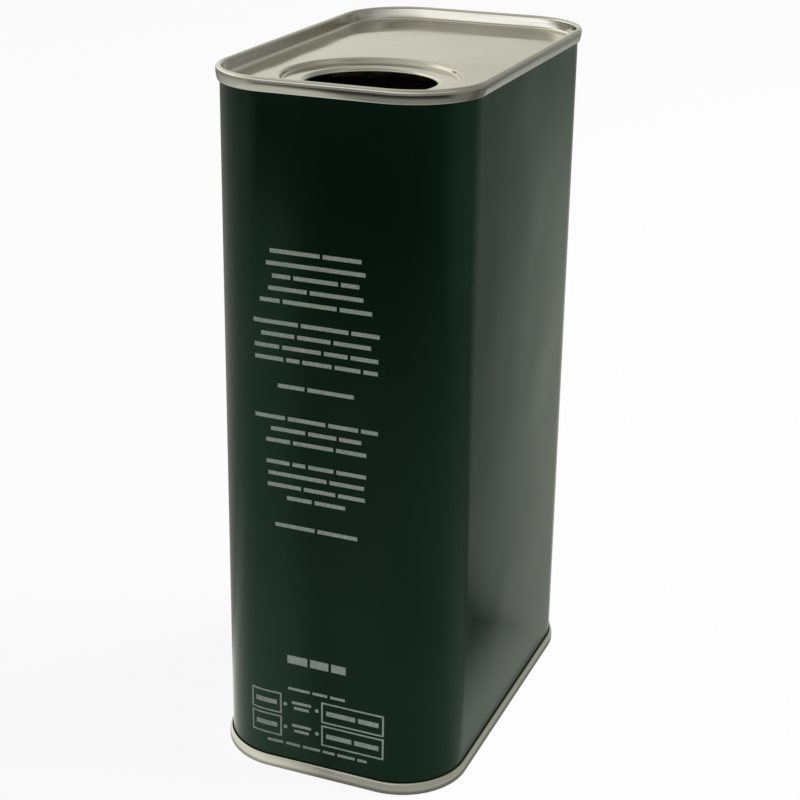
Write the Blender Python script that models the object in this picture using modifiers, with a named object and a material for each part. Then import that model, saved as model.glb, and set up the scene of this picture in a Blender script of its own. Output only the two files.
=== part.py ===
"""Square tin can: a lacquered tinplate body with two ends joined to it by double seams.

The origin is the centre of the base, on the surface that the can stands on. +Z is up, X runs along
the narrow faces and Y along the wide ones, with the mouth towards -Y.

Each sheet is drawn as its middle surface and given its thickness by Solidify. The section of a rim is
written as (inset, depth) points: inset is measured inwards from the outline of the seams, and depth from
the crest of the seam towards the middle of the can. A seam has five layers, from the outside in: the rim
of the end, the body hook, the end's own hook, the body wall and the chuck wall of the end.
"""

import math

import bmesh
import bpy

MM = 0.001
QUARTER = math.pi / 2

# The can as a whole
CAN_WIDTH = 64.0 * MM
CAN_DEPTH = 104.0 * MM
CAN_HEIGHT = 175.0 * MM
CORNER_RADIUS = 17.5 * MM

# The tinplate, and the running room between two sheets that lie on each other
SHEET = 0.24 * MM
LAYER_GAP = 0.05 * MM

# The double seam, measured on its section
SEAM_HEIGHT = 3.3 * MM
CREST_RADIUS = 0.42 * MM
COMPOUND_ROOM = 0.2 * MM
HOOK_END_ROOM = 0.25 * MM
COMPOUND_HALF_ANGLE = math.radians(40)

# The countersunk panel of both ends
COUNTERSINK = 3.3 * MM
CHUCK_WALL_LEAN = math.radians(6)
PANEL_RADIUS = 0.9 * MM
STEP_RADIUS = 0.55 * MM
STEP_ANGLE = math.radians(75)

# The stiffening step of the bottom panel
BOTTOM_BORDER = 7.0 * MM
BOTTOM_STEP = 0.9 * MM

# The mouth in the top panel: a bore, its turned-down wall and the round recess about it
BORE_RADIUS = 15.25 * MM
NOSE_RADIUS = 1.1 * MM
NECK_WALL = 1.0 * MM
CURL_RADIUS = 0.42 * MM
CURL_ANGLE = math.radians(255)
RECESS_FLOOR = 3.8 * MM
RECESS_DEPTH = 1.2 * MM
RECESS_FRONT_BORDER = 4.7 * MM

# The welded side seam of the body, at the middle of the rear face
WELD_WIDTH = 0.8 * MM
WELD_RISE = 0.06 * MM
WELD_END_ROOM = 0.4 * MM

# How finely each curve is stepped
CORNER_STEPS = 8
MOUTH_STEPS = 48
HOOK_STEPS = 4
CREST_STEPS = 3
BEND_STEPS = 3
CURL_STEPS = 7

SHARP_ANGLE = math.radians(40)
MERGE_DISTANCE = 0.001 * MM

# Where the middles of the five layers lie, and the centre of the hooks' bends
PITCH = SHEET + LAYER_GAP
RIM_INSET = SHEET / 2
BODY_HOOK_INSET = RIM_INSET + PITCH
END_HOOK_INSET = BODY_HOOK_INSET + PITCH
BODY_INSET = END_HOOK_INSET + PITCH
CHUCK_INSET = BODY_INSET + PITCH
BODY_BEND_DEPTH = SHEET + COMPOUND_ROOM + LAYER_GAP + SHEET / 2 + PITCH
END_BEND_DEPTH = SEAM_HEIGHT - SHEET / 2 - PITCH
PANEL_DEPTH = COUNTERSINK + SHEET / 2

# Colour, roughness and metallic value of each finish
FINISHES = {
    "green_lacquer": ((0.008, 0.030, 0.018, 1.0), 0.18, 0.0),
    "tinplate": ((0.60, 0.57, 0.50, 1.0), 0.28, 1.0),
    "sealing_compound": ((0.42, 0.40, 0.36, 1.0), 0.80, 0.0),
}


def clear_scene():
    """Remove whatever the scene holds, so that the model starts alone."""
    for obj in list(bpy.data.objects):
        bpy.data.objects.remove(obj)


def new_collection(name):
    """A collection linked to the scene."""
    collection = bpy.data.collections.new(name)
    bpy.context.scene.collection.children.link(collection)
    return collection


def new_material(name):
    """The Principled material of one finish."""
    colour, roughness, metallic = FINISHES[name]
    material = bpy.data.materials.new(name)
    material.use_nodes = True
    shader = material.node_tree.nodes["Principled BSDF"]
    shader.inputs["Base Color"].default_value = colour
    shader.inputs["Roughness"].default_value = roughness
    shader.inputs["Metallic"].default_value = metallic
    material.diffuse_color = colour
    return material


def arc(across, down, radius, start, end, steps):
    """Points on an arc about (across, down), from angle start to angle end."""
    points = []
    for i in range(steps + 1):
        angle = start + (end - start) * i / steps
        points.append((across + radius * math.cos(angle), down + radius * math.sin(angle)))
    return points


def step_down(across, depth, rise):
    """A sheet's step from depth to depth + rise, starting at across and running inwards."""
    rounding = 1 - math.cos(STEP_ANGLE)
    radius = min(STEP_RADIUS, rise / (2 * rounding))
    slope = (rise - 2 * radius * rounding) / math.sin(STEP_ANGLE)
    run = 2 * radius * math.sin(STEP_ANGLE) + slope * math.cos(STEP_ANGLE)
    upper = arc(across, depth + radius, radius, -QUARTER, STEP_ANGLE - QUARTER, BEND_STEPS)
    lower = arc(across + run, depth + rise - radius, radius, QUARTER + STEP_ANGLE, QUARTER, BEND_STEPS)
    if slope < MERGE_DISTANCE:
        lower = lower[1:]
    return upper + lower


def end_rim_section():
    """The rim that both ends share: hook, bend, outer wall, crest, chuck wall and panel radius."""
    points = [(END_HOOK_INSET, BODY_BEND_DEPTH + HOOK_END_ROOM)]
    points += arc(BODY_HOOK_INSET, END_BEND_DEPTH, PITCH, 0, 2 * QUARTER, HOOK_STEPS)
    crest_depth = SHEET / 2 + CREST_RADIUS
    points += arc(RIM_INSET + CREST_RADIUS, crest_depth, CREST_RADIUS, 2 * QUARTER, 3 * QUARTER, CREST_STEPS)
    points += arc(CHUCK_INSET - CREST_RADIUS, crest_depth, CREST_RADIUS, 3 * QUARTER, 4 * QUARTER, CREST_STEPS)
    foot_depth = PANEL_DEPTH - PANEL_RADIUS + PANEL_RADIUS * math.sin(CHUCK_WALL_LEAN)
    foot_inset = CHUCK_INSET + (foot_depth - crest_depth) * math.tan(CHUCK_WALL_LEAN)
    centre_inset = foot_inset + PANEL_RADIUS * math.cos(CHUCK_WALL_LEAN)
    points += arc(centre_inset, PANEL_DEPTH - PANEL_RADIUS, PANEL_RADIUS,
                  2 * QUARTER - CHUCK_WALL_LEAN, QUARTER, BEND_STEPS)
    return points


def bottom_section():
    """The bottom end's section: the shared rim, a flat border and a step up into the can."""
    points = end_rim_section()
    step_start = points[-1][0] + BOTTOM_BORDER
    return points + step_down(step_start, PANEL_DEPTH, BOTTOM_STEP)


def body_section():
    """The body's section, from the top hook down the wall to the bottom hook, as depths below the top."""
    hook_end = END_BEND_DEPTH - HOOK_END_ROOM
    top = [(BODY_HOOK_INSET, hook_end)]
    top += arc(END_HOOK_INSET, BODY_BEND_DEPTH, PITCH, 2 * QUARTER, 4 * QUARTER, HOOK_STEPS)
    bottom = [(inset, CAN_HEIGHT - depth) for inset, depth in reversed(top)]
    return top + bottom


def compound_section():
    """The lining of compound, which lies over the body's bend under the crest of the seam."""
    radius = PITCH + SHEET / 2 + LAYER_GAP + compound_thickness() / 2
    middle = 3 * QUARTER
    return arc(END_HOOK_INSET, BODY_BEND_DEPTH, radius,
               middle - COMPOUND_HALF_ANGLE, middle + COMPOUND_HALF_ANGLE, HOOK_STEPS)


def compound_thickness():
    """What is left for the compound between the body's bend and the crest."""
    return COMPOUND_ROOM - LAYER_GAP


def recess_radius():
    """Radius at which the step of the mouth's recess starts, out on the panel."""
    step = step_down(0, 0, RECESS_DEPTH)
    return BORE_RADIUS + NOSE_RADIUS + RECESS_FLOOR + step[-1][0]


def mouth_section():
    """The mouth's section as (radius, depth): recess step, floor, nose, neck wall and curl."""
    start = recess_radius()
    step = step_down(-start, PANEL_DEPTH, RECESS_DEPTH)
    points = [(-across, depth) for across, depth in step]
    nose = NOSE_RADIUS - SHEET / 2
    wall = BORE_RADIUS + SHEET / 2
    floor_depth = PANEL_DEPTH + RECESS_DEPTH
    points += arc(wall + nose, floor_depth + nose, nose, 3 * QUARTER, 2 * QUARTER, BEND_STEPS)
    curl_depth = floor_depth + nose + NECK_WALL
    points += arc(wall + CURL_RADIUS, curl_depth, CURL_RADIUS, 2 * QUARTER,
                  2 * QUARTER - CURL_ANGLE, CURL_STEPS)
    return points


def mouth_centre():
    """Where the mouth's axis crosses the panel, from the front edge of the can."""
    panel_edge = end_rim_section()[-1][0]
    return (0, -CAN_DEPTH / 2 + panel_edge + RECESS_FRONT_BORDER + recess_radius())


def evaluated_mesh(obj):
    """The object's mesh with its modifiers or bevel applied."""
    depsgraph = bpy.context.evaluated_depsgraph_get()
    return bpy.data.meshes.new_from_object(obj.evaluated_get(depsgraph))


def rounded_outline(collection):
    """The outline of the seams from above: four straight sides and four quarter arcs, counter-clockwise."""
    curve = bpy.data.curves.new("seam_outline", "CURVE")
    curve.dimensions = "3D"
    curve.twist_mode = "Z_UP"
    curve.resolution_u = CORNER_STEPS
    spline = curve.splines.new("BEZIER")
    spline.bezier_points.add(7)
    spline.use_cyclic_u = True
    reach = CORNER_RADIUS * 4 / 3 * math.tan(QUARTER / 4)
    across = CAN_WIDTH / 2 - CORNER_RADIUS
    along = CAN_DEPTH / 2 - CORNER_RADIUS
    corners = ((across, -along), (across, along), (-across, along), (-across, -along))
    for quarter, (x, y) in enumerate(corners):
        for end in (0, 1):
            angle = QUARTER * (quarter - 1 + end)
            point = spline.bezier_points[2 * quarter + end]
            point.co = (x + CORNER_RADIUS * math.cos(angle), y + CORNER_RADIUS * math.sin(angle), 0)
            forward = reach if end == 0 else -reach
            handle = (point.co.x - forward * math.sin(angle), point.co.y + forward * math.cos(angle), 0)
            if end == 0:
                point.handle_left_type = "VECTOR"
                point.handle_right_type = "FREE"
                point.handle_right = handle
            else:
                point.handle_left_type = "FREE"
                point.handle_right_type = "VECTOR"
                point.handle_left = handle
    obj = bpy.data.objects.new("seam_outline", curve)
    collection.objects.link(obj)
    obj.hide_render = True
    obj.display_type = "WIRE"
    return obj


def swept_sheet(outline, section, collection):
    """The open surface that a section makes when it runs round the outline."""
    profile = bpy.data.curves.new("section", "CURVE")
    profile.dimensions = "2D"
    spline = profile.splines.new("POLY")
    spline.points.add(len(section) - 1)
    for point, (inset, depth) in zip(spline.points, section):
        point.co = (-inset, -depth, 0, 1)
    profile_object = bpy.data.objects.new("section", profile)
    collection.objects.link(profile_object)
    outline.data.bevel_mode = "OBJECT"
    outline.data.bevel_object = profile_object
    mesh = evaluated_mesh(outline)
    outline.data.bevel_object = None
    bpy.data.objects.remove(profile_object)
    return mesh


def turned_sheet(section, centre, collection):
    """The open surface that a (radius, depth) section makes when it is turned about the mouth's axis."""
    mesh = bpy.data.meshes.new("turned_section")
    vertices = [(radius, 0, -depth) for radius, depth in section]
    edges = [(i, i + 1) for i in range(len(section) - 1)]
    mesh.from_pydata(vertices, edges, [])
    obj = bpy.data.objects.new("turned_section", mesh)
    collection.objects.link(obj)
    screw = obj.modifiers.new("turn", "SCREW")
    screw.axis = "Z"
    screw.steps = MOUTH_STEPS
    screw.render_steps = MOUTH_STEPS
    screw.use_merge_vertices = True
    screw.merge_threshold = MERGE_DISTANCE
    turned = evaluated_mesh(obj)
    bpy.data.objects.remove(obj)
    for vertex in turned.vertices:
        vertex.co.x += centre[0]
        vertex.co.y += centre[1]
    return turned


def sheet_with_panel(meshes, panel_depth):
    """Join open surfaces and close the flat panel between their edges at panel_depth."""
    bm = bmesh.new()
    for mesh in meshes:
        bm.from_mesh(mesh)
        bpy.data.meshes.remove(mesh)
    edges = []
    for edge in bm.edges:
        level = all(abs(vertex.co.z + panel_depth) < MERGE_DISTANCE for vertex in edge.verts)
        if edge.is_boundary and level:
            edges.append(edge)
    bmesh.ops.triangle_fill(bm, edges=edges, use_beauty=True, normal=(0, 0, 1))
    bmesh.ops.recalc_face_normals(bm, faces=bm.faces)
    mesh = bpy.data.meshes.new("sheet")
    bm.to_mesh(mesh)
    bm.free()
    return mesh


def new_part(name, mesh, material, collection, parent):
    """A smooth-shaded part made of one mesh, under the can's empty."""
    mesh.name = name
    mesh.materials.clear()
    mesh.materials.append(material)
    mesh.shade_smooth()
    mesh.set_sharp_from_angle(angle=SHARP_ANGLE)
    obj = bpy.data.objects.new(name, mesh)
    collection.objects.link(obj)
    obj.parent = parent
    return obj


def thicken(obj, thickness):
    """Give an open surface its thickness, half to each side."""
    solidify = obj.modifiers.new("thickness", "SOLIDIFY")
    solidify.thickness = thickness
    solidify.offset = 0
    solidify.use_even_offset = True
    solidify.use_rim = True


def weld_cutter(collection, parent):
    """The welded lap of the side seam: a strip a little thicker than the sheet, between the two seams."""
    rise = 2 * WELD_RISE + SHEET
    clear = SEAM_HEIGHT + WELD_END_ROOM
    bpy.ops.mesh.primitive_cube_add(size=1)
    obj = bpy.context.active_object
    obj.name = "side_weld"
    obj.data.name = "side_weld"
    for vertex in obj.data.vertices:
        vertex.co.x *= WELD_WIDTH
        vertex.co.y *= rise
        vertex.co.z *= CAN_HEIGHT - 2 * clear
    obj.location = (0, CAN_DEPTH / 2 - BODY_INSET, CAN_HEIGHT / 2)
    for owner in list(obj.users_collection):
        owner.objects.unlink(obj)
    collection.objects.link(obj)
    obj.parent = parent
    obj.hide_render = True
    obj.display_type = "WIRE"
    return obj


def add_can_body(outline, parts, guides, materials, root):
    """The rolled body sheet with a hook at each edge, closed by the weld on its rear face."""
    mesh = swept_sheet(outline, body_section(), guides)
    body = new_part("can_body", mesh, materials["green_lacquer"], parts, root)
    body.location.z = CAN_HEIGHT
    thicken(body, SHEET)
    weld = body.modifiers.new("side_weld", "BOOLEAN")
    weld.operation = "UNION"
    weld.solver = "EXACT"
    weld.object = weld_cutter(guides, root)
    return body


def add_top_end(outline, parts, guides, materials, root):
    """The top end: seam rim, chuck wall and panel, with the recess and the mouth pressed into it."""
    rim = swept_sheet(outline, end_rim_section(), guides)
    mouth = turned_sheet(mouth_section(), mouth_centre(), guides)
    mesh = sheet_with_panel([rim, mouth], PANEL_DEPTH)
    end = new_part("top_end", mesh, materials["tinplate"], parts, root)
    end.location.z = CAN_HEIGHT
    thicken(end, SHEET)
    return end


def add_bottom_end(outline, parts, guides, materials, root):
    """The bottom end: the same rim the other way up, and a plain panel with one stiffening step."""
    rim = swept_sheet(outline, bottom_section(), guides)
    mesh = sheet_with_panel([rim], PANEL_DEPTH + BOTTOM_STEP)
    end = new_part("bottom_end", mesh, materials["tinplate"], parts, root)
    end.rotation_euler.y = 2 * QUARTER
    thicken(end, SHEET)
    return end


def add_compound(outline, parts, guides, materials, root):
    """The ring of sealing compound in each double seam."""
    for name, height, turn in (("top_seam_compound", CAN_HEIGHT, 0), ("bottom_seam_compound", 0, 2 * QUARTER)):
        mesh = swept_sheet(outline, compound_section(), guides)
        ring = new_part(name, mesh, materials["sealing_compound"], parts, root)
        ring.location.z = height
        ring.rotation_euler.y = turn
        thicken(ring, compound_thickness())


def build_can():
    """Build the can, one object for each piece of it."""
    clear_scene()
    parts = new_collection("square_tin_can")
    guides = new_collection("cutters_and_guides")
    materials = {name: new_material(name) for name in FINISHES}
    root = bpy.data.objects.new("can_root", None)
    parts.objects.link(root)
    outline = rounded_outline(guides)
    add_can_body(outline, parts, guides, materials, root)
    add_top_end(outline, parts, guides, materials, root)
    add_bottom_end(outline, parts, guides, materials, root)
    add_compound(outline, parts, guides, materials, root)


build_can()
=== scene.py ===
"""Square tin can: the looks of a lacquered tinplate oil can with two seamed ends, standing on a pale floor."""
import math

import bmesh
import bpy
from mathutils import Matrix, Vector


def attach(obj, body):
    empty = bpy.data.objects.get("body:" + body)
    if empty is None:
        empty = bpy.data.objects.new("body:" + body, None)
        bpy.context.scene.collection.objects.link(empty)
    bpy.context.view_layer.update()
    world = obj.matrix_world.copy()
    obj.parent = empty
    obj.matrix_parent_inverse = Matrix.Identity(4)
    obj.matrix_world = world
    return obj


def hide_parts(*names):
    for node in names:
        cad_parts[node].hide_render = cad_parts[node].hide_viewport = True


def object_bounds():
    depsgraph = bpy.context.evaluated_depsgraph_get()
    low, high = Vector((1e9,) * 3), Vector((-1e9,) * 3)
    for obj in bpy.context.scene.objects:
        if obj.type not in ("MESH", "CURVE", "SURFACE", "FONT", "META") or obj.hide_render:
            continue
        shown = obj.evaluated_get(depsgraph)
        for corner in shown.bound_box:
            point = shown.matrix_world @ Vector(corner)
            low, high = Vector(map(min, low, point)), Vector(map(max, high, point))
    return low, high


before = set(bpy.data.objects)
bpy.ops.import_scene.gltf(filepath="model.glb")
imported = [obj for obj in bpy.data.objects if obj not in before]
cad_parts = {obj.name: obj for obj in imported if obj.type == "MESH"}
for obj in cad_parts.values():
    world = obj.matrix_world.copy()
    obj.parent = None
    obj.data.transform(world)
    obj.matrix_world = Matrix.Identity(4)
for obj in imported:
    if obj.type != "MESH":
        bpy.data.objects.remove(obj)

cad_low, cad_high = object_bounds()

# The body is one sheet of tinplate, lacquered dark green outside, rolled to a rounded oblong and welded up the
# middle of its rear face. Its two edges are turned out into hooks, which the ends grip.
MM = 0.001
QUARTER = math.pi / 2
can_width = cad_high.x - cad_low.x
can_depth = cad_high.y - cad_low.y
can_height = cad_high.z
corner_radius = 17.5 * MM
corner_steps = 28
sheet = 0.24 * MM
layer_gap = 0.05 * MM
seam_height = 3.3 * MM
compound_room = 0.2 * MM
hook_end_room = 0.25 * MM
bend_steps = 8
sharp_angle = math.radians(40)
merge_distance = 0.001 * MM
bare_margin = 2.3 * MM
flat_guard = 0.5 * MM
inner_slot = 1
bare_slot = 2
lacquer_shades = ((0.0080, 0.033, 0.019, 1), (0.0100, 0.039, 0.023, 1))
lacquer_roughness = (0.09, 0.14)
lacquer_specular = 0.22
lacquer_metallic = 0.5
smudged_tin = (0.55, 0.545, 0.50, 1)
bright_tin = (0.63, 0.625, 0.575, 1)
marked_tin = (0.48, 0.47, 0.43, 1)
tin_roughness = (0.07, 0.13)
# The inside's colours are far darker than bare tinplate: painted shade for the dim inside of the can
inside_painted_shade_tones = ((0.24, 0.23, 0.19, 1), (0.34, 0.32, 0.27, 1))
inside_roughness = (0.4, 0.55)

# The middles of the five layers of a seam, from the outline of the seams inwards
pitch = sheet + layer_gap
rim_inset = sheet / 2
body_hook_inset = rim_inset + pitch
end_hook_inset = body_hook_inset + pitch
body_inset = end_hook_inset + pitch
chuck_inset = body_inset + pitch
body_bend_depth = sheet + compound_room + layer_gap + sheet / 2 + pitch
end_bend_depth = seam_height - sheet / 2 - pitch


def arc(across, down, radius, start, end, steps=bend_steps):
    """Points on an arc about (across, down), from angle start to angle end."""
    points = []
    for i in range(steps + 1):
        angle = start + (end - start) * i / steps
        points.append((across + radius * math.cos(angle), down + radius * math.sin(angle)))
    return points


def guarded(section, across=flat_guard, down=0):
    """The section with one more point a little way along the flat, so that the bend's shading ends there."""
    inset, depth = section[-1]
    return section + [(inset + across, depth + down)]


def body_section():
    """The sheet's section as (inset, depth): the top hook, the wall and the bottom hook."""
    top = [(body_hook_inset, end_bend_depth - hook_end_room)]
    top += arc(end_hook_inset, body_bend_depth, pitch, 2 * QUARTER, 4 * QUARTER)
    top = guarded(top, 0, flat_guard)
    bottom = [(inset, can_height - depth) for inset, depth in reversed(top)]
    return top + bottom


def add_node(tree, kind, plugs=(), **settings):
    """A node, with its settings and with its inputs given as values or as other nodes' outputs."""
    node = tree.nodes.new(kind)
    for name, value in settings.items():
        setattr(node, name, value)
    for socket, value in dict(plugs).items():
        if isinstance(value, bpy.types.NodeSocket):
            tree.links.new(value, node.inputs[socket])
        else:
            node.inputs[socket].default_value = value
    return node


def new_geometry_tree(name, sizes):
    """A Geometry Nodes tree with one named input for each size, and its group input node."""
    tree = bpy.data.node_groups.new(name, "GeometryNodeTree")
    tree.interface.new_socket("Geometry", in_out="INPUT", socket_type="NodeSocketGeometry")
    tree.interface.new_socket("Geometry", in_out="OUTPUT", socket_type="NodeSocketGeometry")
    for label, kind in sizes.items():
        tree.interface.new_socket(label, in_out="INPUT", socket_type="NodeSocket" + kind)
    return tree, tree.nodes.new("NodeGroupInput").outputs


def end_tree(tree, geometry, material):
    """Close a tree with Realize Instances and Set Material."""
    real = add_node(tree, "GeometryNodeRealizeInstances", {"Geometry": geometry})
    painted = add_node(tree, "GeometryNodeSetMaterial", {"Geometry": real.outputs[0], "Material": material})
    add_node(tree, "NodeGroupOutput", {"Geometry": painted.outputs[0]})


def rolling_tree():
    """The tree that runs a section round the outline of the seams, as a seaming roll does."""
    tree, sizes = new_geometry_tree("roll_round_outline", {
        "Width": "Float", "Depth": "Float", "Corner radius": "Float", "Corner steps": "Int",
        "Crest level": "Float", "Finish": "Material"})
    oblong = add_node(tree, "GeometryNodeCurvePrimitiveQuadrilateral",
                      {"Width": sizes["Width"], "Height": sizes["Depth"]}, mode="RECTANGLE")
    rounded = add_node(tree, "GeometryNodeFilletCurve",
                       {"Curve": oblong.outputs[0], "Count": sizes["Corner steps"],
                        "Radius": sizes["Corner radius"]}, mode="POLY")
    upright = add_node(tree, "GeometryNodeSetCurveNormal", {"Curve": rounded.outputs[0]}, mode="Z_UP")
    section = add_node(tree, "GeometryNodeMeshToCurve", {"Mesh": sizes["Geometry"]})
    rolled = add_node(tree, "GeometryNodeCurveToMesh",
                      {"Curve": upright.outputs[0], "Profile Curve": section.outputs[0]})
    level = add_node(tree, "ShaderNodeCombineXYZ", {"Z": sizes["Crest level"]})
    placed = add_node(tree, "GeometryNodeSetPosition", {"Geometry": rolled.outputs[0], "Offset": level.outputs[0]})
    end_tree(tree, placed.outputs[0], sizes["Finish"])
    return tree


def new_mesh_object(name, vertices, edges, faces=()):
    """An object at the origin, made of these points, edges and faces."""
    mesh = bpy.data.meshes.new(name)
    mesh.from_pydata(vertices, edges, faces)
    obj = bpy.data.objects.new(name, mesh)
    bpy.context.scene.collection.objects.link(obj)
    return obj


def plain_mesh(obj):
    """The object's evaluated mesh, put in place of the live one, with all modifiers gone."""
    evaluated = obj.evaluated_get(bpy.context.evaluated_depsgraph_get())
    mesh = bpy.data.meshes.new_from_object(evaluated)
    obj.modifiers.clear()
    old = obj.data
    obj.data = mesh
    bpy.data.meshes.remove(old)
    mesh.name = obj.name
    return obj


def grow(obj, tree, **values):
    """Run a Geometry Nodes tree on the object with these inputs, and keep the plain mesh."""
    modifier = obj.modifiers.new(tree.name, "NODES")
    modifier.node_group = tree
    for item in tree.interface.items_tree:
        label = item.name.lower().replace(" ", "_")
        if item.in_out == "INPUT" and label in values:
            modifier[item.identifier] = values[label]
    return plain_mesh(obj)


def rolled_sheet(name, section, crest_level, direction, finish):
    """The open surface that a section makes round the can. Direction is 1 for depths that run down."""
    points = [(-inset, direction * depth, 0) for inset, depth in section]
    obj = new_mesh_object(name, points, [(i, i + 1) for i in range(len(points) - 1)])
    return grow(obj, roll_round, width=can_width, depth=can_depth, corner_radius=corner_radius,
                corner_steps=corner_steps, crest_level=crest_level, finish=finish)


def close_sheet(obj, extra=(), panel_level=None):
    """Join further open surfaces to a sheet, fill its flat panel and turn all its faces one way."""
    shape = bmesh.new()
    shape.from_mesh(obj.data)
    for other in extra:
        shape.from_mesh(other.data)
        bpy.data.objects.remove(other)
    bmesh.ops.remove_doubles(shape, verts=shape.verts, dist=merge_distance)
    if panel_level is not None:
        rims = []
        for edge in shape.edges:
            level = all(abs(corner.co.z - panel_level) < merge_distance for corner in edge.verts)
            if edge.is_boundary and level:
                rims.append(edge)
        bmesh.ops.triangle_fill(shape, edges=rims, use_beauty=True, normal=(0, 0, 1))
    bmesh.ops.recalc_face_normals(shape, faces=shape.faces)
    middle = Vector((0, 0, can_height / 2))
    outward = sum(face.calc_area() * face.normal.dot(face.calc_center_median() - middle) for face in shape.faces)
    if outward < 0:
        bmesh.ops.reverse_faces(shape, faces=shape.faces)
    shape.to_mesh(obj.data)
    shape.free()


def give_thickness(obj, thickness, inner_finish=0):
    """Thicken an open sheet, half to each side of its middle. Its inner face takes a material slot further on."""
    wall = obj.modifiers.new("thickness", "SOLIDIFY")
    wall.thickness = thickness
    wall.offset = 0
    wall.use_even_offset = True
    wall.material_offset = inner_finish
    plain_mesh(obj)
    obj.data.shade_smooth()
    obj.data.set_sharp_from_angle(angle=sharp_angle)


def new_finish(name):
    """A material with its Principled shader and the object's own coordinates."""
    material = bpy.data.materials.new(name)
    material.use_nodes = True
    tree = material.node_tree
    place = add_node(tree, "ShaderNodeTexCoord").outputs["Object"]
    return material, tree, tree.nodes["Principled BSDF"], place


def speckle(tree, place, size, detail, stretch=(1, 1, 1)):
    """Noise whose grains are about this many metres across, drawn out along an axis where stretch is under 1."""
    scaled = add_node(tree, "ShaderNodeMapping", {"Vector": place, "Scale": stretch})
    noise = add_node(tree, "ShaderNodeTexNoise",
                     {"Vector": scaled.outputs[0], "Scale": 1 / size, "Detail": detail})
    return noise.outputs["Fac"]


def spread(tree, value, low, high, start=0.3, end=0.7):
    """A noise value from start to end, spread from low to high."""
    ranged = add_node(tree, "ShaderNodeMapRange",
                      {"Value": value, "From Min": start, "From Max": end, "To Min": low, "To Max": high})
    return ranged.outputs[0]


def between(tree, share, first, second):
    """A colour from first to second by share."""
    mix = add_node(tree, "ShaderNodeMix", {0: share, 6: first, 7: second}, data_type="RGBA")
    return mix.outputs[2]


def relief(tree, value, height, strength, below=None):
    """A bump of this height in metres, over another one where below is given."""
    plugs = {"Height": value, "Distance": height, "Strength": strength}
    if below is not None:
        plugs["Normal"] = below
    return add_node(tree, "ShaderNodeBump", plugs).outputs[0]


def paint(tree, shader, noise, shades, wear, roughness):
    """Run the shader's colour through two shades as one noise goes, and its roughness through a range as another."""
    tree.links.new(between(tree, spread(tree, noise, 0, 1), *shades), shader.inputs["Base Color"])
    tree.links.new(spread(tree, wear, *roughness), shader.inputs["Roughness"])


def green_lacquer():
    """Gloss lacquer, a clear green film over bright metal: faintly cloudy, with orange peel and rubbed patches."""
    material, tree, shader, place = new_finish("green_lacquer")
    clouds = speckle(tree, place, size=28 * MM, detail=3)
    rubbed = speckle(tree, place, size=11 * MM, detail=5, stretch=(1, 1, 0.35))
    paint(tree, shader, clouds, lacquer_shades, rubbed, lacquer_roughness)
    shader.inputs["Specular IOR Level"].default_value = lacquer_specular
    shader.inputs["Metallic"].default_value = lacquer_metallic
    waves = speckle(tree, place, size=34 * MM, detail=1)
    soft = relief(tree, waves, height=0.5 * MM, strength=0.5)
    peel = speckle(tree, place, size=1.3 * MM, detail=2)
    tree.links.new(relief(tree, peel, height=0.004 * MM, strength=0.35, below=soft), shader.inputs["Normal"])
    return material


def tinplate():
    """Bright tinplate: a warm grey metal with fine grain along Y, smudges in its gloss, and the marks that the
    seaming rolls leave round the walls."""
    material, tree, shader, place = new_finish("tinplate")
    smudges = speckle(tree, place, size=14 * MM, detail=4)
    marks = speckle(tree, place, size=0.55 * MM, detail=4, stretch=(0.012, 0.012, 1))
    unmarked = between(tree, spread(tree, smudges, 0, 1), smudged_tin, bright_tin)
    paint(tree, shader, marks, (marked_tin, unmarked), smudges, tin_roughness)
    shader.inputs["Metallic"].default_value = 1
    dents = speckle(tree, place, size=38 * MM, detail=1)
    soft = relief(tree, dents, height=1.0 * MM, strength=0.5)
    rolled = relief(tree, marks, height=0.006 * MM, strength=0.5, below=soft)
    grain = speckle(tree, place, size=0.35 * MM, detail=3, stretch=(1, 0.04, 1))
    tree.links.new(relief(tree, grain, height=0.002 * MM, strength=0.2, below=rolled), shader.inputs["Normal"])
    return material


def inner_tin():
    """The plain inside of the can: bare tinplate, darkened to a brown grey as painted shade for the dim inside."""
    material, tree, shader, place = new_finish("inner_tin")
    stains = speckle(tree, place, size=22 * MM, detail=4)
    paint(tree, shader, stains, inside_painted_shade_tones, stains, inside_roughness)
    shader.inputs["Metallic"].default_value = 1
    return material


roll_round = rolling_tree()
lacquer = green_lacquer()
bare_tin = tinplate()
body = rolled_sheet("lacquered_body", body_section(), can_height, 1, lacquer)
body.data.materials.append(inner_tin())
body.data.materials.append(bare_tin)
close_sheet(body)
give_thickness(body, sheet, inner_finish=inner_slot)


def bare_weld_margin(obj):
    """Leave the sheet bare for a little way to each side of the weld, where no lacquer is rolled on."""
    shape = bmesh.new()
    shape.from_mesh(obj.data)
    for side in (-1, 1):
        rear = [face for face in shape.faces if face.calc_center_median().y > 0]
        parts = rear + list({edge for face in rear for edge in face.edges})
        parts += list({corner for face in rear for corner in face.verts})
        bmesh.ops.bisect_plane(shape, geom=parts, plane_co=(side * bare_margin, 0, 0), plane_no=(1, 0, 0))
    for face in shape.faces:
        middle = face.calc_center_median()
        if middle.y > 0 and abs(middle.x) < bare_margin:
            face.material_index = bare_slot
    shape.to_mesh(obj.data)
    shape.free()


bare_weld_margin(body)
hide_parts("can_body")
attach(body, "root")

# The side weld joins the two edges of the body sheet. A copper wire wheel makes it as a chain of small
# overlapping nuggets, a little thicker than the sheet, from one seam to the other.
weld_width = 0.8 * MM
weld_rise = 0.06 * MM
weld_end_room = 0.4 * MM
nugget_pitch = 0.75 * MM
nugget_overlap = 1.5
nugget_segments = 10
nugget_rings = 6
weld_shades = ((0.20, 0.20, 0.21, 1), (0.38, 0.36, 0.33, 1))
weld_roughness = (0.32, 0.48)


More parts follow.
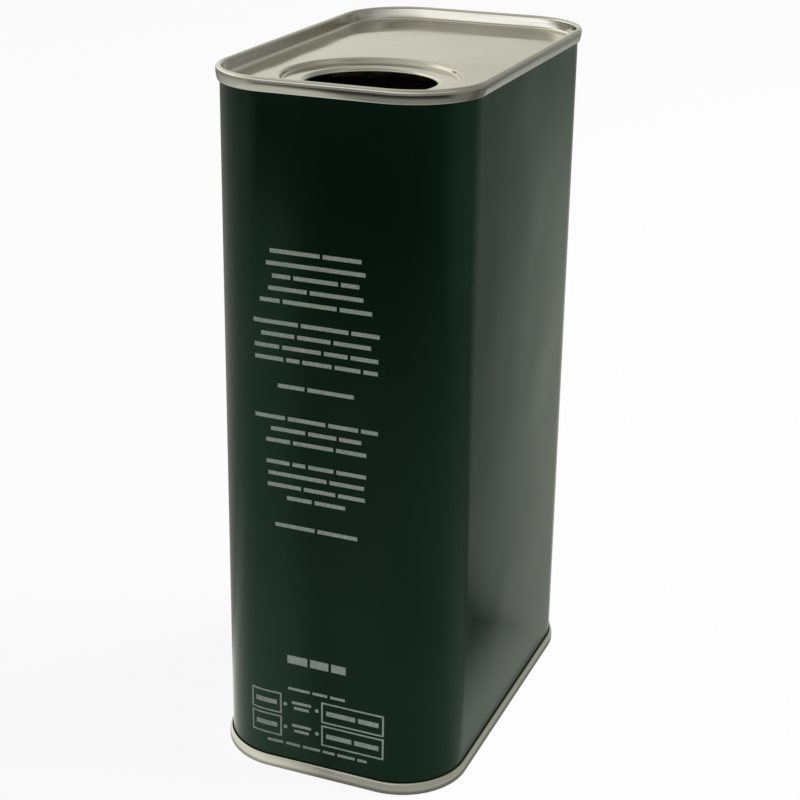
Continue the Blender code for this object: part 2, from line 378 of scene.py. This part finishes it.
def welding_tree():
    """The tree that sets one nugget, a ball one metre across scaled down, on each point of a line up the rear."""
    tree, sizes = new_geometry_tree("weld_nuggets", {
        "Nuggets": "Int", "Pitch": "Vector", "First": "Vector", "Nugget size": "Vector", "Finish": "Material"})
    line = add_node(tree, "GeometryNodeMeshLine",
                    {"Count": sizes["Nuggets"], "Start Location": sizes["First"], "Offset": sizes["Pitch"]})
    nugget = add_node(tree, "GeometryNodeMeshUVSphere",
                      {"Segments": nugget_segments, "Rings": nugget_rings, "Radius": 0.5})
    smooth = add_node(tree, "GeometryNodeSetShadeSmooth", {"Geometry": nugget.outputs[0]})
    chain = add_node(tree, "GeometryNodeInstanceOnPoints",
                     {"Points": line.outputs[0], "Instance": smooth.outputs[0], "Scale": sizes["Nugget size"]})
    end_tree(tree, chain.outputs[0], sizes["Finish"])
    return tree


def weld_metal():
    """Steel that the welding current has blued and dulled."""
    material, tree, shader, place = new_finish("weld_metal")
    heat = speckle(tree, place, size=1.6 * MM, detail=3)
    paint(tree, shader, heat, weld_shades, heat, weld_roughness)
    shader.inputs["Metallic"].default_value = 1
    return material


weld_foot = seam_height + weld_end_room
weld_length = can_height - 2 * weld_foot
nuggets = int(weld_length / nugget_pitch)
weld = grow(new_mesh_object("side_weld", [(0, 0, 0)], []), welding_tree(),
            nuggets=nuggets,
            pitch=(0, 0, nugget_pitch),
            first=(0, can_depth / 2 - body_inset, (can_height - (nuggets - 1) * nugget_pitch) / 2),
            nugget_size=(weld_width, sheet + 2 * weld_rise, nugget_overlap * nugget_pitch),
            finish=weld_metal())
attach(weld, "root")

# The top end is pressed from one plain tinplate sheet: the rim that is rolled into the double seam, the chuck
# wall, the flat panel, and in it a round recess whose floor turns down into the mouth's neck and curls outwards.
crest_radius = 0.50 * MM
wall_crown = 0.27 * MM
wall_shoulder = 0.03 * MM
wall_widest = 0.72
wall_steps = 9
wall_lean = math.radians(16)
countersink = 3.3 * MM
chuck_wall_lean = math.radians(6)
panel_radius = 0.9 * MM
step_radius = 0.55 * MM
step_angle = math.radians(75)
bore_radius = 15.25 * MM
nose_radius = 1.1 * MM
neck_wall = 1.0 * MM
curl_radius = 0.42 * MM
curl_angle = math.radians(255)
recess_floor = 3.8 * MM
recess_depth = 1.2 * MM
recess_front_border = 4.7 * MM
mouth_steps = 112
curl_steps = 20
panel_depth = countersink + sheet / 2


def end_rim_section():
    """The rim of an end: hook, bend, outer wall, crest, chuck wall and the radius at the panel."""
    points = [(end_hook_inset, body_bend_depth + hook_end_room)]
    points += arc(body_hook_inset + wall_crown / 2, end_bend_depth + wall_crown / 2, pitch - wall_crown / 2,
                  0, 2 * QUARTER - wall_lean)
    crest_depth = sheet / 2 + crest_radius
    for i in range(1, wall_steps):
        share = i / wall_steps
        if share < wall_widest:
            drawn_in = wall_crown * (1 - share / wall_widest) ** 2
        else:
            drawn_in = wall_shoulder * ((share - wall_widest) / (1 - wall_widest)) ** 2
        points.append((rim_inset + drawn_in, end_bend_depth + share * (crest_depth - end_bend_depth)))
    points += arc(rim_inset + wall_shoulder + crest_radius, crest_depth, crest_radius, 2 * QUARTER, 3 * QUARTER)
    points += arc(chuck_inset - crest_radius, crest_depth, crest_radius, 3 * QUARTER, 4 * QUARTER)
    foot_depth = panel_depth - panel_radius + panel_radius * math.sin(chuck_wall_lean)
    foot_inset = chuck_inset + (foot_depth - crest_depth) * math.tan(chuck_wall_lean)
    centre_inset = foot_inset + panel_radius * math.cos(chuck_wall_lean)
    points += arc(centre_inset, panel_depth - panel_radius, panel_radius, 2 * QUARTER - chuck_wall_lean, QUARTER)
    return points


def step_down(across, depth, rise):
    """A pressed step from depth to depth + rise, starting at across and running inwards."""
    rounding = 1 - math.cos(step_angle)
    radius = min(step_radius, rise / (2 * rounding))
    slope = (rise - 2 * radius * rounding) / math.sin(step_angle)
    run = 2 * radius * math.sin(step_angle) + slope * math.cos(step_angle)
    upper = arc(across, depth + radius, radius, -QUARTER, step_angle - QUARTER)
    lower = arc(across + run, depth + rise - radius, radius, QUARTER + step_angle, QUARTER)
    return upper + lower


def mouth_section(start):
    """The mouth as (radius, depth): guard on the panel, recess step, floor, nose, neck wall and curl."""
    step = step_down(-start, panel_depth, recess_depth)
    points = [(start + flat_guard, panel_depth)] + [(-across, depth) for across, depth in step]
    nose = nose_radius - sheet / 2
    wall = bore_radius + sheet / 2
    floor_depth = panel_depth + recess_depth
    points.append((points[-1][0] - flat_guard, floor_depth))
    points.append((wall + nose + flat_guard, floor_depth))
    points += arc(wall + nose, floor_depth + nose, nose, 3 * QUARTER, 2 * QUARTER)
    curl_depth = floor_depth + nose + neck_wall
    points += arc(wall + curl_radius, curl_depth, curl_radius, 2 * QUARTER, 2 * QUARTER - curl_angle, curl_steps)
    return points


def turned_sheet(name, section, centre, crest_level):
    """The open surface that a (radius, depth) section makes when it is spun about an upright axis."""
    shape = bmesh.new()
    corners = [shape.verts.new((centre.x + radius, centre.y, crest_level - depth)) for radius, depth in section]
    lines = [shape.edges.new(pair) for pair in zip(corners, corners[1:])]
    bmesh.ops.spin(shape, geom=corners + lines, cent=(centre.x, centre.y, 0), axis=(0, 0, 1),
                   angle=4 * QUARTER, steps=mouth_steps, use_merge=True)
    obj = new_mesh_object(name, [], [])
    shape.to_mesh(obj.data)
    shape.free()
    return obj


recess_radius = bore_radius + nose_radius + recess_floor + step_down(0, 0, recess_depth)[-1][0]
mouth_centre = Vector((0, cad_low.y + end_rim_section()[-1][0] + recess_front_border + recess_radius, 0))
top_end = rolled_sheet("top_end_plate", guarded(end_rim_section()), can_height, 1, bare_tin)
mouth = turned_sheet("mouth", mouth_section(recess_radius), mouth_centre, can_height)
close_sheet(top_end, extra=[mouth], panel_level=can_height - panel_depth)
give_thickness(top_end, sheet)
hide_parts("top_end")
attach(top_end, "root")

# The bottom end is a plain tinplate sheet with the same rolled rim the other way up, and a panel with one
# stiffening step, pressed up into the can so that it stands on its seam alone.
bottom_border = 7.0 * MM
bottom_step = 0.9 * MM

bottom_profile = guarded(end_rim_section())
step_start = bottom_profile[-1][0] - flat_guard + bottom_border
bottom_profile = guarded(bottom_profile + step_down(step_start, panel_depth, bottom_step))
bottom_end = rolled_sheet("bottom_end_plate", bottom_profile, 0, -1, bare_tin)
close_sheet(bottom_end, panel_level=panel_depth + bottom_step)
give_thickness(bottom_end, sheet)
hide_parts("bottom_end")
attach(bottom_end, "root")

# The sealing compound is a matt rubbery lining, flowed into the curl of each end before it is seamed on. It
# stays hidden between the layers.
compound_shades = ((0.36, 0.34, 0.30, 1), (0.46, 0.44, 0.40, 1))
compound_roughness = (0.7, 0.9)


def sealing_compound():
    """Cured compound: dull grey with darker flecks and a pebbled skin."""
    material, tree, shader, place = new_finish("sealing_compound")
    flecks = speckle(tree, place, size=0.6 * MM, detail=3)
    paint(tree, shader, flecks, compound_shades, flecks, compound_roughness)
    tree.links.new(relief(tree, flecks, height=0.02 * MM, strength=0.5), shader.inputs["Normal"])
    return material


compound = sealing_compound()
for node in ("top_seam_compound", "bottom_seam_compound"):
    for material_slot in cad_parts[node].material_slots:
        material_slot.material = compound

# The print on the front face is one pale ink, screened over the lacquer before the sheet is rolled, so it
# follows the corners. It is centred rows of plain bars, with a ruled frame of bars near the foot.
ink_film = 0.03 * MM
ink_sunk = 0.01 * MM
word_gap = 0.75 * MM
print_middle = -1.5 * MM
row_pitch = 2.95 * MM
rule_width = 0.45 * MM
rule_gap = 0.01 * MM
print_seed = 7
shortest_word = 0.5
longest_word = 1.5
bar_points = 17
ink_shades = ((0.50, 0.60, 0.51, 1), (0.76, 0.86, 0.76, 1))
ink_roughness = (0.4, 0.6)
ink_specular = 0.22

# Each block of centred rows, in mm: the level of its top row, the height of its bars, the width of each row, and
# the number of bars in each
row_blocks = (
    (135.8, 1.0, (22.5, 24.5, 21.5, 23.5, 27.8), (2, 1, 3, 2, 3)),
    (118.8, 1.0, (31.5, 27.4, 31.0, 30.8), (3, 3, 4, 5)),
    (103.4, 1.0, (19.2,), (2,)),
    (95.4, 1.0, (31.2, 23.0, 25.5), (4, 3, 3)),
    (84.0, 1.0, (25.5, 24.5, 25.0, 15.0), (4, 2, 3, 2)),
    (67.8, 1.0, (21.3,), (2,)),
    (31.7, 2.2, (15.6,), (3,)),
    (23.5, 0.75, (15.2,), (3,)),
    (7.6, 0.75, (27.0,), (6,)),
)

# The ruled frame, in mm: the left and right of its boxes and the bars in each, the levels of their feet, and
# their height, with the bar inside them and the room at its ends
box_columns = ((-19.3, -11.2, 1), (0.0, 16.2, 2))
box_feet = (9.5, 16.0)
box_height = 5.4
box_bar = 1.3
box_room = 2.2

# Between the boxes, in mm: two levels, each with four bars as (place, height over the level, width, bar height)
note_levels = (12.4, 18.9)
note_bars = ((-5.6, 0.75, 5.2, 0.8), (-5.6, -0.75, 4.0, 0.8), (-10.0, -0.1, 0.9, 0.9), (-1.4, -0.1, 0.9, 0.9))


def printing_tree():
    """The tree that splits each row into words, makes a bar for each, and wraps them on the body's face.

    A row is one point at (place along the outline, 0, height) with its own width, bar height and words."""
    tree, sizes = new_geometry_tree("print_rows_of_bars", {
        "Word gap": "Float", "Ink": "Float", "Sunk": "Float", "Flat half": "Float", "Corner": "Float",
        "Corner middle": "Float", "Seed": "Int", "Finish": "Material"})

    def maths(operation, first, second=0.0, third=0.0):
        """A value worked out from others in the tree."""
        return add_node(tree, "ShaderNodeMath", {0: first, 1: second, 2: third}, operation=operation).outputs[0]

    def own(name, kind="FLOAT"):
        """What a point carries under this name."""
        return add_node(tree, "GeometryNodeInputNamedAttribute", {"Name": name}, data_type=kind).outputs[0]

    copies = add_node(tree, "GeometryNodeDuplicateElements",
                      {"Geometry": sizes["Geometry"], "Amount": own("words", "INT")}, domain="POINT")
    turn = copies.outputs["Duplicate Index"]
    stable = add_node(tree, "GeometryNodeInputIndex").outputs[0]
    weight = add_node(tree, "FunctionNodeRandomValue",
                      {2: shortest_word, 3: longest_word, "ID": stable, "Seed": sizes["Seed"]}, data_type="FLOAT")
    totals = add_node(tree, "GeometryNodeAccumulateField",
                      {0: weight.outputs[1], "Group Index": own("row", "INT")}, data_type="FLOAT", domain="POINT")
    gaps = maths("MULTIPLY", maths("SUBTRACT", own("words"), 1.0), sizes["Word gap"])
    inked = maths("DIVIDE", maths("SUBTRACT", own("row_width"), gaps), totals.outputs["Total"])
    length = maths("MULTIPLY", inked, weight.outputs[1])
    before = maths("MULTIPLY", inked, totals.outputs["Trailing"])
    start = maths("SUBTRACT", maths("MULTIPLY_ADD", turn, sizes["Word gap"], before),
                  maths("MULTIPLY", own("row_width"), 0.5))
    shift = add_node(tree, "ShaderNodeCombineXYZ", {"X": maths("MULTIPLY_ADD", length, 0.5, start)})
    spaced = add_node(tree, "GeometryNodeSetPosition", {"Geometry": copies.outputs[0], "Offset": shift.outputs[0]})
    bar = add_node(tree, "GeometryNodeMeshCube",
                   {"Size": (1, 1, 1), "Vertices X": bar_points, "Vertices Y": 2, "Vertices Z": 2})
    size = add_node(tree, "ShaderNodeCombineXYZ", {"X": length, "Y": sizes["Ink"], "Z": own("bar_height")})
    bars = add_node(tree, "GeometryNodeInstanceOnPoints",
                    {"Points": spaced.outputs[0], "Instance": bar.outputs[0], "Scale": size.outputs[0]})
    flat_bars = add_node(tree, "GeometryNodeRealizeInstances", {"Geometry": bars.outputs[0]})

    flat = add_node(tree, "ShaderNodeSeparateXYZ", {0: add_node(tree, "GeometryNodeInputPosition").outputs[0]})
    side = maths("SIGN", flat.outputs["X"])
    past = maths("MAXIMUM", maths("SUBTRACT", maths("ABSOLUTE", flat.outputs["X"]), sizes["Flat half"]), 0.0)
    angle = maths("DIVIDE", past, sizes["Corner"])
    lift = maths("ADD", maths("SUBTRACT", maths("MULTIPLY", sizes["Ink"], 0.5), flat.outputs["Y"]),
                 maths("SUBTRACT", sizes["Corner"], sizes["Sunk"]))
    level = maths("MINIMUM", maths("ABSOLUTE", flat.outputs["X"]), sizes["Flat half"])
    across = maths("MULTIPLY", side, maths("MULTIPLY_ADD", lift, maths("SINE", angle), level))
    along = maths("SUBTRACT", sizes["Corner middle"], maths("MULTIPLY", lift, maths("COSINE", angle)))
    wrapped = add_node(tree, "ShaderNodeCombineXYZ", {"X": across, "Y": along, "Z": flat.outputs["Z"]})
    laid = add_node(tree, "GeometryNodeSetPosition",
                    {"Geometry": flat_bars.outputs[0], "Position": wrapped.outputs[0]})
    end_tree(tree, laid.outputs[0], sizes["Finish"])
    return tree


def pale_ink():
    """Screened ink: a matt pale grey-green, thin enough in places for the dark lacquer to show."""
    material, tree, shader, place = new_finish("pale_ink")
    thin = speckle(tree, place, size=0.7 * MM, detail=3)
    paint(tree, shader, thin, ink_shades, thin, ink_roughness)
    shader.inputs["Specular IOR Level"].default_value = ink_specular
    return material


def paragraph(top, bar, widths, words):
    """Centred rows from the level of the top one down, as (middle, level, width, bar height, words)."""
    rows = []
    for i, (width, count) in enumerate(zip(widths, words)):
        rows.append((print_middle, top * MM - i * row_pitch, width * MM, bar * MM, count))
    return rows


def ruled_box(left, right, foot, top):
    """The four lines of a ruled frame, as rows of one bar."""
    middle = (left + right) / 2 * MM
    half = (top - foot) / 2 * MM
    rows = []
    for level in (foot, top):
        rows.append((middle, level * MM, (right - left) * MM + rule_width, rule_width, 1))
    for edge in (left, right):
        rows.append((edge * MM, foot * MM + half, rule_width, 2 * (half - rule_gap) - rule_width, 1))
    return rows


def print_on_front():
    """All the rows of the print as points with their own sizes, and the bars that the tree makes of them."""
    rows = []
    for top, bar, widths, words in row_blocks:
        rows += paragraph(top, bar, widths, words)
    for left, right, words in box_columns:
        middle = (left + right) / 2 * MM
        for foot in box_feet:
            rows += ruled_box(left, right, foot, foot + box_height)
            rows.append((middle, (foot + box_height / 2) * MM, (right - left - box_room) * MM, box_bar * MM, words))
    for level in note_levels:
        for across, over, width, bar in note_bars:
            rows.append((across * MM, (level + over) * MM, width * MM, bar * MM, 1))
    obj = new_mesh_object("front_print", [(middle, 0, level) for middle, level, _, _, _ in rows], [])
    columns = {"row_width": [row[2] for row in rows], "bar_height": [row[3] for row in rows]}
    counts = {"row": list(range(len(rows))), "words": [row[4] for row in rows]}
    for name, values in columns.items():
        obj.data.attributes.new(name, "FLOAT", "POINT").data.foreach_set("value", values)
    for name, values in counts.items():
        obj.data.attributes.new(name, "INT", "POINT").data.foreach_set("value", values)
    face = body_inset - sheet / 2
    return grow(obj, printing_tree(), word_gap=word_gap, ink=ink_film + ink_sunk, sunk=ink_sunk,
                flat_half=can_width / 2 - corner_radius, corner=corner_radius - face,
                corner_middle=cad_low.y + corner_radius, seed=print_seed, finish=pale_ink())


front_print = print_on_front()
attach(front_print, "root")

# The stage is a plain pale floor under a white sky, with one soft lamp high at the right rear. A card on the
# floor, which only reflections see, gives the lacquer and the seams their gradients.
white = (1, 1, 1, 1)
floor_reach = 6.0
floor_cloud = 0.4
floor_shades = ((0.84, 0.84, 0.83, 1), (0.88, 0.88, 0.87, 1))
floor_roughness = 0.9
floor_specular = 0.1
floor_glow = 1.03
floor_glow_share = 0.90
lamp_place = Vector((0.85, 0.55, 0.85))
lamp_target = Vector((0, 0, 0.09))
lamp_size = 0.9
lamp_power = 16.0

# The camera, fitted to the outlines of the seams and of the body
photo_size = 800
sensor = 36.0
focal_pixels = 1769
optical_centre = (370, 370)
camera_place = Vector((155.9, -394.8, 251.9)) * MM
camera_yaw = math.radians(22.72)
camera_pitch = math.radians(20.75)
camera_roll = math.radians(0.50)
nearest_seen = 0.01
farthest_seen = 100

# The sky: how much of it lights the can, then what gloss sees, a skyline that is brightest to the front left, a
# greyer ceiling above it, a darker front above the skyline, and a warmer tint higher up
sky_light = 0.12
skyline_slope = (-0.55, -0.47, 0)
skyline_level = 1.05
skyline_top = 0.22
ceiling_foot = 0.80
ceiling_share = 0.7
front_edge = -0.1
front_full = -0.6
front_loss = 0.55
front_skyline = 0.10
front_ceiling = 0.17
sky_tint = (1.0, 0.985, 0.86, 1)
warm_foot = 0.06
warm_full = 0.16

# The card as a whole. Bearings run from +Y, behind the can, towards +X, its right
card_reach = 3.0
card_lift = 0.03 * MM
card_tint = (0.98, 1.0, 0.90, 1)
card_far_start = 0.15
card_far_end = 1.15

# Behind the can: a dim field with a paler strip along a heading
strip_heading = math.radians(17.7)
strip_edge = 60 * MM
strip_full = 0 * MM
card_dim = 0.21
card_far_dim = 0.19
card_back = 0.65
card_far_back = 0.22
card_rear_dim = math.radians(-45)
card_rear_full = math.radians(8)
card_right_end = math.radians(60)
card_right_blur = math.radians(20)

# To the left: a pale field
card_left = 0.75
card_far_left = 0.40
card_left_near = 0.09
card_left_clear = 0.34
card_left_dim = 0.7
card_left_full = math.radians(-110)
card_left_end = math.radians(-158)
card_left_blur = math.radians(30)

# About the front right corner: pale near it and dark far from it in front, with a lobe to the right
card_corner = (14.5 * MM, -34.5 * MM, card_lift)
card_pale = 0.50
card_dark = 0.04
card_pale_reach = 0.03
card_dark_reach = 0.55
card_side = 0.26
lobe_start = math.radians(12)
lobe_full = math.radians(80)
lobe_fade = math.radians(80)
lobe_end = math.radians(120)

# Round the foot: a painted contact shadow, a dark line where the can stands, and a paler ring outside it
contact_shadow_share = 0.45
foot_dark = 0.9 * MM
foot_bright = 2.5 * MM
foot_end = 28 * MM
card_foot = 0.52

# At the front left: a pale wash that is brightest at the foot
wash_heading = math.radians(-153)
wash_edge = -40 * MM
wash_full = -6 * MM
wash_side = math.radians(-115)
wash_rear = math.radians(-80)
wash_near = 0.05
wash_clear = 0.24
wash_foot = 1.12
wash_level = 0.78
wash_far_start = 0.34
wash_far = 0.82
wash_far_share = 0.08

# All round and far off: a skirt for the outer wall of the top seam
skirt_start = 0.82
skirt_full = 0.98
skirt_level = 0.32


def folded(tree, operation, values):
    """One value from several, taken in turn."""
    result = values[0]
    for value in values[1:]:
        result = add_node(tree, "ShaderNodeMath", {0: result, 1: value}, operation=operation).outputs[0]
    return result


def times(tree, *values):
    """The product of these values."""
    return folded(tree, "MULTIPLY", values)


def largest(tree, *values):
    """The largest of these values."""
    return folded(tree, "MAXIMUM", values)


def soft_step(tree, value, start, end, low=0.0, high=1.0):
    """A value that goes smoothly from low to high as another one goes from start to end."""
    return add_node(tree, "ShaderNodeMapRange",
                    {"Value": value, "From Min": start, "From Max": end, "To Min": low, "To Max": high},
                    interpolation_type="SMOOTHSTEP").outputs[0]


def vector_maths(tree, operation, first, second=(0, 0, 0)):
    """A vector worked out from one or two others."""
    return add_node(tree, "ShaderNodeVectorMath", {0: first, 1: second}, operation=operation).outputs["Vector"]


def vector_measure(tree, operation, first, second=(0, 0, 0)):
    """A number worked out from one or two vectors, such as a length."""
    return add_node(tree, "ShaderNodeVectorMath", {0: first, 1: second}, operation=operation).outputs["Value"]


def bearing_of(tree, place):
    """The bearing of a place from the origin."""
    parts = add_node(tree, "ShaderNodeSeparateXYZ", {0: place}).outputs
    return folded(tree, "ARCTAN2", (parts["X"], parts["Y"]))


def beside_heading(heading):
    """The level direction to the right of a heading."""
    return math.cos(heading), -math.sin(heading), 0


def unlit_rays(tree):
    """1 for the rays that see the background itself: camera, glossy and transmission rays."""
    rays = add_node(tree, "ShaderNodeLightPath").outputs
    return largest(tree, rays["Is Camera Ray"], rays["Is Glossy Ray"], rays["Is Transmission Ray"])


def white_sky():
    """A world that shows white to the camera, and to gloss a white skyline under a greyer ceiling."""
    world = bpy.data.worlds.new("white_sky")
    bpy.context.scene.world = world
    world.use_nodes = True
    tree = world.node_tree
    background = tree.nodes["Background"]
    heading = add_node(tree, "ShaderNodeTexCoord").outputs["Generated"]
    parts = add_node(tree, "ShaderNodeSeparateXYZ", {0: heading}).outputs
    glossy = add_node(tree, "ShaderNodeLightPath").outputs["Is Glossy Ray"]

    slope = vector_measure(tree, "DOT_PRODUCT", heading, skyline_slope)
    skyline = folded(tree, "ADD", (slope, skyline_level))
    ceiling = soft_step(tree, parts["Z"], skyline_top, ceiling_foot, 1.0, ceiling_share)
    front = soft_step(tree, parts["Y"], front_edge, front_full, 0.0, front_loss)
    high = soft_step(tree, parts["Z"], front_skyline, front_ceiling)
    kept = folded(tree, "SUBTRACT", (1.0, times(tree, front, high)))
    lit = spread(tree, unlit_rays(tree), sky_light, 1.0, start=0, end=1)
    strength = add_node(tree, "ShaderNodeMix", {0: glossy, 2: lit, 3: times(tree, skyline, ceiling, kept)})
    tree.links.new(strength.outputs[0], background.inputs["Strength"])

    warmth = times(tree, glossy, soft_step(tree, parts["Z"], warm_foot, warm_full))
    tree.links.new(between(tree, warmth, white, sky_tint), background.inputs["Color"])


def level_square(name, reach, level, material):
    """A level square that reaches this far from the origin along X and Y."""
    corners = [(-reach, -reach, level), (reach, -reach, level), (reach, reach, level), (-reach, reach, level)]
    obj = new_mesh_object(name, corners, [], [(0, 1, 2, 3)])
    obj.data.materials.append(material)
    return obj


def pale_floor():
    """A floor that is nearly white where it is lit, and keeps the can's soft shadow."""
    material, tree, shader, place = new_finish("pale_floor")
    cloud = speckle(tree, place, size=floor_cloud, detail=2)
    tree.links.new(between(tree, spread(tree, cloud, 0, 1), *floor_shades), shader.inputs["Base Color"])
    shader.inputs["Roughness"].default_value = floor_roughness
    shader.inputs["Specular IOR Level"].default_value = floor_specular
    glow = add_node(tree, "ShaderNodeEmission", {"Color": white, "Strength": floor_glow})
    share = spread(tree, unlit_rays(tree), 0.0, floor_glow_share, start=0, end=1)
    mixed = add_node(tree, "ShaderNodeMixShader", {0: share, 1: shader.outputs[0], 2: glow.outputs[0]})
    tree.links.new(mixed.outputs[0], tree.nodes["Material Output"].inputs["Surface"])
    obj = level_square("floor", floor_reach, 0, material)


def gloom_card():
    """The card that only reflections see. The brightest of its parts shows at each place."""
    material = bpy.data.materials.new("gloom_card")
    material.use_nodes = True
    tree = material.node_tree
    tree.nodes.remove(tree.nodes["Principled BSDF"])
    place = add_node(tree, "ShaderNodeTexCoord").outputs["Object"]
    away = vector_measure(tree, "LENGTH", place)
    bearing = bearing_of(tree, place)

    across = vector_measure(tree, "DOT_PRODUCT", place, beside_heading(strip_heading))
    dim = soft_step(tree, away, card_far_start, card_far_end, card_dim, card_far_dim)
    full = soft_step(tree, away, card_far_start, card_far_end, card_back, card_far_back)
    strip = add_node(tree, "ShaderNodeMix",
                     {0: soft_step(tree, across, strip_edge, strip_full), 2: dim, 3: full}).outputs[0]
    behind = times(tree, strip,
                   soft_step(tree, bearing, card_right_end - card_right_blur, card_right_end, 1.0, 0.0),
                   soft_step(tree, bearing, card_rear_dim, card_rear_full))

    left = times(tree, soft_step(tree, away, card_left_near, card_left_clear, card_left_dim, 1.0),
                 soft_step(tree, away, card_far_start, card_far_end, card_left, card_far_left),
                 soft_step(tree, bearing, card_left_full, card_rear_full, 1.0, 0.0),
                 soft_step(tree, bearing, card_left_end, card_left_end + card_left_blur))

    from_corner = vector_maths(tree, "SUBTRACT", place, card_corner)
    reach = vector_measure(tree, "LENGTH", from_corner)
    near = soft_step(tree, reach, card_pale_reach, card_dark_reach, card_pale, card_dark)
    turned = bearing_of(tree, from_corner)
    rising = soft_step(tree, turned, lobe_start, lobe_full)
    falling = soft_step(tree, turned, lobe_fade, lobe_end, card_side, 0.0)
    front = soft_step(tree, turned, card_left_end, card_left_end + card_left_blur, 1.0, 0.0)
    corner = largest(tree, times(tree, near, largest(tree, rising, front)), times(tree, falling, rising))

    flat = (can_width / 2 - corner_radius, can_depth / 2 - corner_radius, 0)
    mirrored = vector_maths(tree, "ABSOLUTE", place)
    beside = vector_maths(tree, "MAXIMUM", vector_maths(tree, "SUBTRACT", mirrored, flat))
    gap = vector_measure(tree, "LENGTH", beside)
    # Painted contact shadow: the card darkens right beside the can's foot
    painted_contact_shadow = soft_step(tree, gap, corner_radius + foot_dark, corner_radius + foot_bright, contact_shadow_share, 1.0)
    foot = soft_step(tree, gap, corner_radius + foot_bright, corner_radius + foot_end, card_foot, 0.0)

    aside = vector_measure(tree, "DOT_PRODUCT", place, beside_heading(wash_heading))
    wash = times(tree, soft_step(tree, aside, wash_edge, wash_full),
                 soft_step(tree, bearing, wash_side, wash_rear, 1.0, 0.0),
                 soft_step(tree, away, wash_near, wash_clear, wash_foot, wash_level),
                 soft_step(tree, away, wash_far_start, wash_far, 1.0, wash_far_share))
    skirt = soft_step(tree, away, skirt_start, skirt_full, 0.0, skirt_level)

    level = times(tree, painted_contact_shadow, largest(tree, corner, foot, behind, left, wash, skirt))
    glow = add_node(tree, "ShaderNodeEmission", {"Color": card_tint, "Strength": level})
    tree.links.new(glow.outputs[0], tree.nodes["Material Output"].inputs["Surface"])
    obj = level_square("gloom_card", card_reach, card_lift, material)
    obj.visible_camera = False
    obj.visible_diffuse = False
    obj.visible_transmission = False
    obj.visible_shadow = False


def soft_lamp(name):
    """The square area lamp, which faces the can and doesn't show in its gloss."""
    light = bpy.data.lights.new(name, "AREA")
    light.size = lamp_size
    light.energy = lamp_power
    obj = bpy.data.objects.new(name, light)
    obj.location = lamp_place
    obj.rotation_euler = (lamp_target - lamp_place).to_track_quat("-Z", "Y").to_euler()
    obj.visible_glossy = False
    bpy.context.scene.collection.objects.link(obj)


def add_camera():
    """The camera at the photograph's place, with its optical centre a little off the middle of the frame."""
    ahead = Vector((-math.sin(camera_yaw) * math.cos(camera_pitch), math.cos(camera_yaw) * math.cos(camera_pitch),
                    -math.sin(camera_pitch)))
    right = Vector((math.cos(camera_yaw), math.sin(camera_yaw), 0))
    up = right.cross(ahead)
    rolled_right = right * math.cos(camera_roll) + up * math.sin(camera_roll)
    rolled_up = up * math.cos(camera_roll) - right * math.sin(camera_roll)
    data = bpy.data.cameras.new("camera")
    data.sensor_width = sensor
    data.lens = focal_pixels / photo_size * sensor
    data.shift_x = (photo_size / 2 - optical_centre[0]) / photo_size
    data.shift_y = (optical_centre[1] - photo_size / 2) / photo_size
    data.clip_start = nearest_seen
    data.clip_end = farthest_seen
    obj = bpy.data.objects.new("camera", data)
    bpy.context.scene.collection.objects.link(obj)
    axes = Matrix((rolled_right, rolled_up, -ahead)).transposed()
    obj.matrix_world = Matrix.Translation(camera_place) @ axes.to_4x4()
    bpy.context.scene.camera = obj


white_sky()
pale_floor()
gloom_card()
soft_lamp("right_softbox")
add_camera()
bpy.context.scene.view_settings.view_transform = "Standard"
